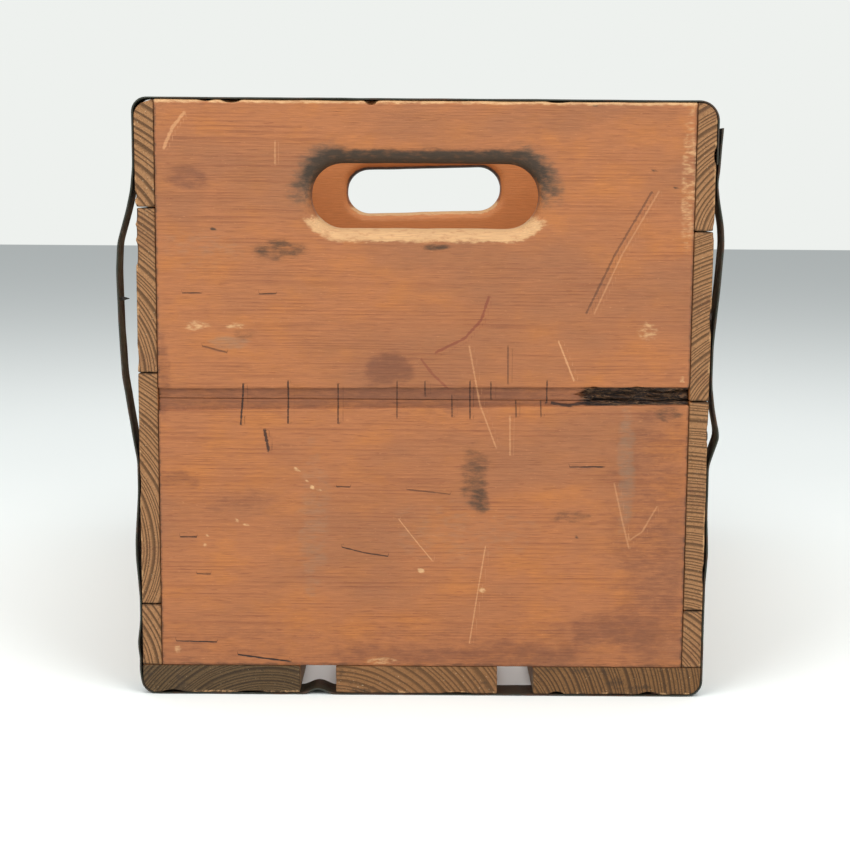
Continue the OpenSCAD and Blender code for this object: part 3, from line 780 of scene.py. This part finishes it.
def rusty_steel(name, dark, brown, bright, bare, seed):
    """Steel that has oxidised indoors for decades. The eye gets a dull dark skin, patches of
    brown rust with a powdery grain, and a little bare grey where something rubbed it."""
    made = bpy.data.materials.new(name)
    made.use_nodes = True
    tree = made.node_tree
    tree.nodes.clear()
    add = functools.partial(node, tree)
    spot = add("VectorMath", {0: add("TexCoord", output="Object"), "Scale": 1 / MM}, operation="SCALE")
    spot = add("VectorMath", (spot, (seed * 31.7, seed * 17.3, seed * 23.9)))
    patchy = add("TexNoise", {"Vector": spot, "Scale": 1 / 14, "Detail": 6.0, "Roughness": 0.65})
    powder = add("TexNoise", {"Vector": spot, "Scale": 1 / 0.8, "Detail": 3.0, "Roughness": 0.7})
    rubbed = add("TexNoise", {"Vector": spot, "Scale": 1 / 5, "Detail": 5.0, "Roughness": 0.6})
    rust = add("MapRange", (patchy, 0.45, 0.66), **SOFT_STEP)
    light = add("MapRange", (powder, 0.45, 0.75), **SOFT_STEP)
    shine = add("MapRange", (rubbed, 0.62, 0.72, 0.0, bare), **SOFT_STEP)
    skin = colour(dark)
    for tint, amount in ((brown, rust), (bright, add("Math", (rust, light), **TIMES)), ("#77756c", shine)):
        skin = add("Mix", {0: amount, 6: skin, 7: colour(tint)}, 2, data_type="RGBA")
    height = add("Math", (powder, 0.12, 0.0), operation="MULTIPLY_ADD")
    height = add("Math", (rust, 0.12, height), operation="MULTIPLY_ADD")
    bump = add("Bump", {"Strength": 0.8, "Distance": MM, "Height": height})
    gloss = add("MapRange", (rust, 0.0, 1.0, 0.5, 0.85))
    metal = add("Math", (shine, 0.7), **TIMES)
    surface = {"Base Color": skin, "Metallic": metal, "Roughness": gloss, "Normal": bump}
    add("OutputMaterial", {"Surface": add("BsdfPrincipled", surface)})
    return made


wire_nail = rusty_steel("rusty_wire_nail_steel", "#3a2a20", "#55301b", "#7a4524", 0.3, 3)


def carry_over(material, *nodes):
    """Gives CAD nodes that stay as they are their material."""
    for name in nodes:
        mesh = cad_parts[name].data
        mesh.materials.clear()
        mesh.materials.append(material)


carry_over(wire_nail, *(f"{e}_{s}_side_nails" for e in ("front", "rear") for s in ("left", "right")))

# Bottom slats: three rough-sawn pine boards nailed under the ends and sides, with open
# gaps between them. Their outer lower edges are worn round, and their sawn ends are
# dark with dirt, with lint and splinters caught on them.
SLAT_EDGE_R = 8
SLAT_RINGS = {"left": (24, 60, 1.8), "middle": (-38, 75, 3.0), "right": (-72, 80, 2.2)}
SLAT_END = {
    "left": ("#5d472b", "#33230f"),
    "middle": ("#8a6039", "#5a3c1e"),
    "right": ("#7a552f", "#452d14"),
}
SLAT_FACE = ("#8d6a45", "#63452a", "#96704a", "#75604a")


def bottom_slat(name, part, low, high, seed):
    """One slat, with its grain along Y."""
    (x0, _, z0), (x1, _, z1) = low, high
    xs = grid_lines((x0, 0.5), (x0 + 9, 1.3), (x1 - 9, 0.5), (x1, 0.5))
    ys = grid_lines((-half_l, 0.6), (9 - half_l, 3.2), (half_l - 9, 0.6), (half_l, 0.6))
    zs = grid_lines((z0, 0.5), (z0 + 8, 1.2), (z1 - 2, 0.5), (z1, 0.5))
    x, y, z = np.meshgrid(xs, ys, zs, indexing="ij", sparse=True)
    e = half_l - np.abs(y)
    under = z0 + 0.15 + 0.14 * rough(seed, 2, y / 50, x / 12) - z
    over = z - z1 + 0.1 + 0.1 * rough(seed + 3, 2, y / 50, x / 12)
    ends = 0.35 + 0.25 * rough(seed + 5, 3, x / 2.5, z / 2.5) - e
    left = x0 + 0.15 + 0.12 * rough(seed + 8, 2, y / 30, z / 4) - x
    right = x - x1 + 0.15 + 0.12 * rough(seed + 10, 2, y / 30, z / 4)
    small = 0.8 + 0.4 * noise(seed + 12, y / 12, x / 9)
    depth = meet(over, ends, 0.5)
    depth = meet(depth, left if part != "left" else right, 0.6)
    if part == "middle":
        depth = meet(depth, right, 0.6)
        depth = meet(depth, under, small)
    else:
        outer, inner = (left, right) if part == "left" else (right, left)
        depth = np.maximum(depth, meet(under, inner, small))
        depth = np.maximum(depth, meet(under, outer, SLAT_EDGE_R))
    depth = np.maximum(depth, meet(under, ends, small))
    for place, deep, reach in SLAT_CHIPS:
        depth = chip(depth, (z - z0, deep), (half_l + y, 4 * deep), (x - place, reach))
    depth = np.broadcast_to(depth, (len(xs), len(ys), len(zs))).astype(np.float32)
    return carve(name, xs, ys, zs, depth)


# Chips out of the slats' lower front edges: place, depth, half width
SLAT_CHIPS = [(128, 1.8, 5), (-96, 1.2, 8), (20, 1.0, 9), (76, 1.6, 4), (-140, 1.6, 6)]


def age_slat(piece, low, high, seed):
    """Dirt and wear on a slat, and painted light on its upper face."""
    x, y, z = points_of(piece)
    e = half_l - np.abs(y)
    sawn = 1 - smooth(0.7, 1.3, e)
    under = 1 - smooth(0.8, 2.0, z - low[2])
    over = smooth(-2.0, -0.8, z - high[2])
    middle = (low[0] + high[0]) / 2
    marks = random_marks(seed, half_l, low[0] - 8, high[0] + 8)
    layers = {"stain": [], "grime": [], "grey": [], "pale": []}
    for i, (kind, centre, size, force) in enumerate(marks["blots"]):
        layers[kind].append(blot(y, x, centre, size, force, seed + 50 + i) * under)
    layers["rust"] = [0.4 * (1 - smooth(17, 20, e)) * smooth(0.8, 3, e) * under]
    layers["grime"] += [0.5 * sawn * smooth(0.2, 0.7, rough(seed + 30, 3, x / 9, z / 5))]
    layers["grime"] += [0.3 * under]
    layers["pale"] += [0.6 * sawn * under * smooth(0.0, 0.5, rough(seed + 34, 3, x / 4, z / 2))]
    for kind, amounts in layers.items():
        paint(piece, kind, both(*amounts) * (1 - 0.85 * over * (1 - sawn)))
    paint(piece, "sawn_end", sawn)
    # The upper face gets the inner faces' brighter orange: cleaner wood, and painted light from the open
    # top
    paint(piece, "inside", over * (1 - sawn))
    for kind in ("slit", "scratch"):
        score(piece, kind, marks[kind], y, x, under)


for number, (part, (slope, radius, spacing)) in enumerate(SLAT_RINGS.items()):
    low, high = box_mm(f"{part}_bottom_slat")
    seed = 1501 + 50 * number
    slat = bottom_slat(f"{part}_slat_of_rough_pine", part, low, high, seed)
    age_slat(slat, low, high, seed)
    pith = ring_pith(low, high, slope, radius)
    pine = weathered_pine(
        f"rough_pine_{part}_slat", "Y", pith, spacing, SLAT_FACE, SLAT_END[part], seed
    )
    dress(slat, pine, "bottom_slat", f"{part}_bottom_slat")

# Bottom nails: the same wire nails, driven up through the slats into the end boards.
carry_over(wire_nail, "front_bottom_nails", "rear_bottom_nails")

# Straps: one flat band of mild steel round each end, lapped on the right side and nailed.
# It was sheared from sheet, and is dark with rust. It has come away from the sides in
# kinks where nails pulled out, and is pressed up into the gap beside the left slat.
STRAP_T, STRAP_W = 0.9, 18
LAP_DROP, LAP_L, LAP_GAP, LAP_CURL = 12.5, 20.5, 0.2, 1.4
GAP_RISE = 3
strap_h = rim_z - STRAP_T
lap_to = 1 - LAP_DROP / strap_h
lap_from = lap_to - LAP_L / strap_h
lap_lift = STRAP_T + LAP_GAP
# How it has come away: share of the strap's height, distance off the side
LEFT_BULGE = [
    (0, 0), (0.025, 0), (0.04, 0.97), (0.055, 0.39), (0.085, 1.55), (0.125, 0), (0.165, 0),
    (0.235, 1.84), (0.265, 1.84), (0.35, 0), (0.402, 0), (0.43, 1.75), (0.545, 7.57),
    (0.62, 8.92), (0.72, 9.7), (0.765, 8.92), (0.82, 3.69), (0.85, 1.36), (0.89, 0), (1, 0),
]
RIGHT_BULGE = [
    (0, 0), (0.19, 0), (0.25, 1.08), (0.31, 0), (0.398, 0), (0.448, 5.4), (0.495, 2.21),
    (0.535, 0.49), (0.6, 0.49), (0.69, 3.02), (0.77, 4.7), (0.8, 4.0), (0.84, 1.4),
    (lap_from - 0.03, 0.11), (lap_from - 0.012, lap_lift),
    (lap_from + 0.02, lap_lift + 0.36 * LAP_CURL), (lap_to, lap_lift + LAP_CURL),
]
STRAP_STEP = 1.6
slat_edges = [box_mm(f"{part}_bottom_slat") for part in ("left", "middle", "right")]
slat_mids = [(low[0] + high[0]) / 2 for low, high in slat_edges]
left_gap = (slat_edges[0][1][0] + slat_edges[1][0][0]) / 2
gap_half = (slat_edges[1][0][0] - slat_edges[0][1][0]) / 2


def bulge(table, share):
    """How far the strap stands off at shares of its height, with the kinks eased."""
    shares, outs = zip(*table)
    ease = 0.008
    return sum(w * np.interp(share + s, shares, outs) for s, w in ((-ease, 0.25), (0, 0.5), (ease, 0.25)))


def turn(cx, cz, r, start):
    """A quarter circle of the route: places, and which way is out."""
    a = np.radians(start + np.linspace(0, 90, 13))
    out = np.stack([np.cos(a), np.sin(a)], 1)
    return np.array([cx, cz]) + r * out, out, np.zeros(len(a))


def upright(side, shares, off):
    """A stretch of the route up or down one side."""
    place = np.stack([np.full(len(shares), side * body_x), STRAP_T + shares * strap_h], 1)
    return place, np.tile([side, 0.0], (len(shares), 1)), off


def strap_route(left_r, right_r, gap_x):
    """The strap from under its lap, over the rim, down the left, under the slats and up again."""
    low = SLAT_EDGE_R / strap_h
    up_right = np.linspace(lap_from, 1 - right_r / strap_h, 30)
    down_left = np.linspace(1 - left_r / strap_h, low, 150)
    back_up = np.linspace(low, lap_to, 150)
    swing = np.linspace(-1, 1, 17)
    under = np.stack([gap_x + gap_half * swing, np.full(17, STRAP_T)], 1)
    stretches = [
        upright(1, up_right, np.zeros(30)),
        turn(body_x - right_r, rim_z - right_r, right_r, 0),
        turn(left_r - body_x, rim_z - left_r, left_r, 90),
        upright(-1, down_left, bulge(LEFT_BULGE, down_left)),
        turn(SLAT_EDGE_R - body_x, STRAP_T + SLAT_EDGE_R, SLAT_EDGE_R, 180),
        (under, np.tile([0.0, -1.0], (17, 1)), -GAP_RISE * np.cos(swing * math.pi / 2) ** 2),
        turn(body_x - SLAT_EDGE_R, STRAP_T + SLAT_EDGE_R, SLAT_EDGE_R, 270),
        upright(1, back_up, bulge(RIGHT_BULGE, back_up)),
    ]
    place, out, off = (np.concatenate(parts) for parts in zip(*stretches))
    place = place + out * off[:, None]
    gone = np.concatenate([[0], np.cumsum(np.hypot(*np.diff(place, axis=0).T))])
    at = np.arange(0, gone[-1], STRAP_STEP)
    place = np.stack([np.interp(at, gone, place[:, i]) for i in (0, 1)], 1)
    out = np.stack([np.interp(at, gone, out[:, i]) for i in (0, 1)], 1)
    return place, out / np.linalg.norm(out, axis=1)[:, None], at


def strap_band(name, turned, left_r, right_r, gap_x, seed):
    """The strap as a band swept along its route, cupped and wavy as old sheet is."""
    place, out, at = strap_route(left_r, right_r, gap_x)
    half, t, bevel = STRAP_W / 2, STRAP_T, 0.22
    rim = [(-half, bevel), (bevel - half, 0)] + [(w, 0) for w in np.linspace(-7, 7, 7)]
    rim += [(half - bevel, 0), (half, bevel)]
    ring = rim + [(w, t - h) for w, h in reversed(rim)]
    points = []
    for w, h in ring:
        wavy = 0.12 * (1 + rough(seed, 2, at / 17, np.full(len(at), w / 9 + 3)))
        edge = np.sign(w) * 0.15 * rough(seed + 5, 2, at / 8) * (abs(w) > 7.5)
        lift = (h + wavy)[:, None] * out
        y = -half_l + 0.5 + half + w + edge
        points.append(np.stack([place[:, 0] + lift[:, 0], y, place[:, 1] + lift[:, 1]], 1))
    points = np.stack(points, 1)
    if turned:
        points = points * [-1, -1, 1]
    rows, round_ = points.shape[:2]
    faces = []
    for i in range(rows - 1):
        for j in range(round_):
            k = (j + 1) % round_
            faces.append((i * round_ + j, i * round_ + k, (i + 1) * round_ + k, (i + 1) * round_ + j))
    faces += [tuple(range(round_))[::-1], tuple((rows - 1) * round_ + j for j in range(round_))]
    mesh = bpy.data.meshes.new(name)
    mesh.from_pydata(points.reshape(-1, 3) * MM, [], faces)
    mesh.shade_smooth()
    mesh.set_sharp_from_angle(angle=math.radians(35))
    strap = bpy.data.objects.new(name, mesh)
    bpy.context.scene.collection.objects.link(strap)
    return strap


strap_steel = rusty_steel("oxidised_strap_steel", "#23271c", "#3d2a1c", "#5b3820", 0.25, 7)
for end, turned, left_r, right_r, gap_x in (
    ("front", False, LEFT_RIM_R, RIGHT_RIM_R, left_gap),
    ("rear", True, RIGHT_RIM_R, LEFT_RIM_R, -(slat_edges[1][1][0] + slat_edges[2][0][0]) / 2),
):
    strap = strap_band(f"{end}_band_of_steel", turned, left_r, right_r, gap_x, 1701 + turned)
    dress(strap, strap_steel, "strap_steel", f"{end}_strap")

# Strap nails: short nails with flat, hammered heads through the strap into the wood. One
# on the left has pulled out of the wood and still hangs in the strap.
NAIL_D, NAIL_L, NAIL_HEAD_D, NAIL_HEAD_T = 2.2, 22, 6, 0.8
# Heights of the nails as shares of the strap's height, and the pulled nail's length
LEFT_NAILS, RIGHT_NAILS = (0.145, 0.375, 0.925), (0.12, 0.355, 0.57, 0.93)
PULLED_NAIL, PULLED_L = 0.672, 5
# Places of the rim's nails as shares of half the width
RIM_NAILS = (-0.75, 0, 0.75)
NAIL_ROUND = 20


def nail_places(mids):
    """Head place and direction out of each strap nail in X and Z, and the nail's length."""
    places = []
    left_nails = LEFT_NAILS + (PULLED_NAIL,)
    for side, shares, table in ((-1, left_nails, LEFT_BULGE), (1, RIGHT_NAILS, RIGHT_BULGE)):
        for share in shares:
            off = side * (body_x + bulge(table, share) + STRAP_T)
            length = PULLED_L if share == PULLED_NAIL else NAIL_L
            places.append(((off, STRAP_T + share * strap_h), (side, 0), length))
    places += [((share * body_x, rim_z + STRAP_T - 0.5), (0, 1), NAIL_L - 1) for share in RIM_NAILS]
    places += [((x, 0.5), (0, -1), NAIL_L - 1) for x in mids]
    return places


def strap_nails(name, turned, mids, seed):
    """All nails of one strap as turned shapes with uneven hammered heads."""
    rng = np.random.default_rng(seed)
    points, faces = [], []
    for (px, pz), (ox, oz), length in nail_places(mids):
        r, h, d = NAIL_HEAD_D / 2, NAIL_HEAD_T, NAIL_D / 2
        profile = [(0.02, h), (0.45 * r, 0.97 * h), (0.8 * r, 0.8 * h), (0.97 * r, 0.45 * h), (r, 0.1)]
        profile += [(0.96 * r, 0.0), (d, -0.2), (d, 3.3 - length), (0.2, -length)]
        bent = rng.normal(0, 0.04, 2)
        around = np.linspace(0, 2 * math.pi, NAIL_ROUND, endpoint=False)
        uneven = 1 + 0.05 * np.sin(2 * around + rng.uniform(0, 6))
        uneven = uneven + 0.03 * np.sin(5 * around + rng.uniform(0, 6))
        first = len(points)
        for radius, height in profile:
            wide = radius * (uneven if radius > d else 1)
            a, b = wide * np.cos(around), wide * np.sin(around)
            up = height + bent[0] * a + bent[1] * b * (radius > d)
            x = px + ox * up + oz * a
            z = pz + oz * up + ox * a
            y = -half_l + end_t / 2 + b
            points.extend(np.stack([x, np.broadcast_to(y, x.shape), z], 1))
        for i in range(len(profile) - 1):
            for j in range(NAIL_ROUND):
                k = (j + 1) % NAIL_ROUND
                quad = [first + i * NAIL_ROUND + j, first + i * NAIL_ROUND + k]
                quad += [first + (i + 1) * NAIL_ROUND + k, first + (i + 1) * NAIL_ROUND + j]
                faces.append(quad)
        last = first + (len(profile) - 1) * NAIL_ROUND
        faces += [list(range(first, first + NAIL_ROUND)), list(range(last, last + NAIL_ROUND))]
    points = np.array(points) * ([-1, -1, 1] if turned else [1, 1, 1])
    mesh = bpy.data.meshes.new(name)
    mesh.from_pydata(points * MM, [], faces)
    outward = bmesh.new()
    outward.from_mesh(mesh)
    bmesh.ops.recalc_face_normals(outward, faces=outward.faces)
    outward.to_mesh(mesh)
    outward.free()
    mesh.shade_smooth()
    mesh.set_sharp_from_angle(angle=math.radians(50))
    nails = bpy.data.objects.new(name, mesh)
    bpy.context.scene.collection.objects.link(nails)
    return nails


strap_nail = rusty_steel("rusty_strap_nail_steel", "#2b221a", "#4a2c1a", "#6e4023", 0.5, 11)
for end, turned, mids in (("front", False, slat_mids), ("rear", True, [-x for x in slat_mids])):
    nails = strap_nails(f"{end}_hammered_strap_nails", turned, mids, 1801 + turned)
    dress(nails, strap_nail, "nail_steel", f"{end}_strap_nails")

# Floor and light: a flat sheet of pale paper under the crate, an even pale room round it,
# and three wide soft lamps, two in front at the sides and one above.
FLOOR_HALF = 6.0
PAPER = "#eef1ee"
floor_mesh = bpy.data.meshes.new("floor")
floor_mesh.from_pydata(
    [(x * FLOOR_HALF, y * FLOOR_HALF, 0) for x, y in ((-1, -1), (1, -1), (1, 1), (-1, 1))],
    [],
    [(0, 1, 2, 3)],
)
floor = bpy.data.objects.new("floor", floor_mesh)
bpy.context.scene.collection.objects.link(floor)
# Uncoated paper, which gives the eye an even pale ground with soft shadows
paper = bpy.data.materials.new("matt_white_paper")
paper.use_nodes = True
tree = paper.node_tree
tree.nodes.clear()
shade = node(tree, "BsdfDiffuse", {"Color": colour(PAPER)})
node(tree, "OutputMaterial", {"Surface": shade})
floor_mesh.materials.append(paper)

world = bpy.data.worlds.new("studio")
bpy.context.scene.world = world
world.use_nodes = True
tree = world.node_tree
tree.nodes.clear()
path = tree.nodes.new("ShaderNodeLightPath")
seen = node(tree, "Background", {"Color": colour(PAPER), "Strength": 1.0})
fill = node(tree, "Background", {"Color": (0.93, 0.97, 1.0, 1), "Strength": 0.5})
mixed = node(tree, "MixShader", {0: path.outputs["Is Camera Ray"], 1: fill, 2: seen})
node(tree, "OutputWorld", {"Surface": mixed})

LAMP_AIM = Vector((0, -0.1, 0.12))
for name, place, size, power in (
    ("front_left_lamp", (-1.3, -1.6, 1.3), 1.2, 22),
    ("front_right_lamp", (1.3, -1.6, 1.3), 1.2, 20),
    ("top_lamp", (0.0, -0.3, 1.9), 1.6, 24),
):
    lamp = bpy.data.lights.new(name, "AREA")
    lamp.shape = "SQUARE"
    lamp.size = size
    lamp.energy = power
    lamp_object = bpy.data.objects.new(name, lamp)
    bpy.context.scene.collection.objects.link(lamp_object)
    aim = (Vector(place) - LAMP_AIM).to_track_quat("Z", "Y").to_matrix().to_4x4()
    lamp_object.matrix_world = Matrix.Translation(place) @ aim

bpy.context.scene.view_settings.view_transform = "Standard"
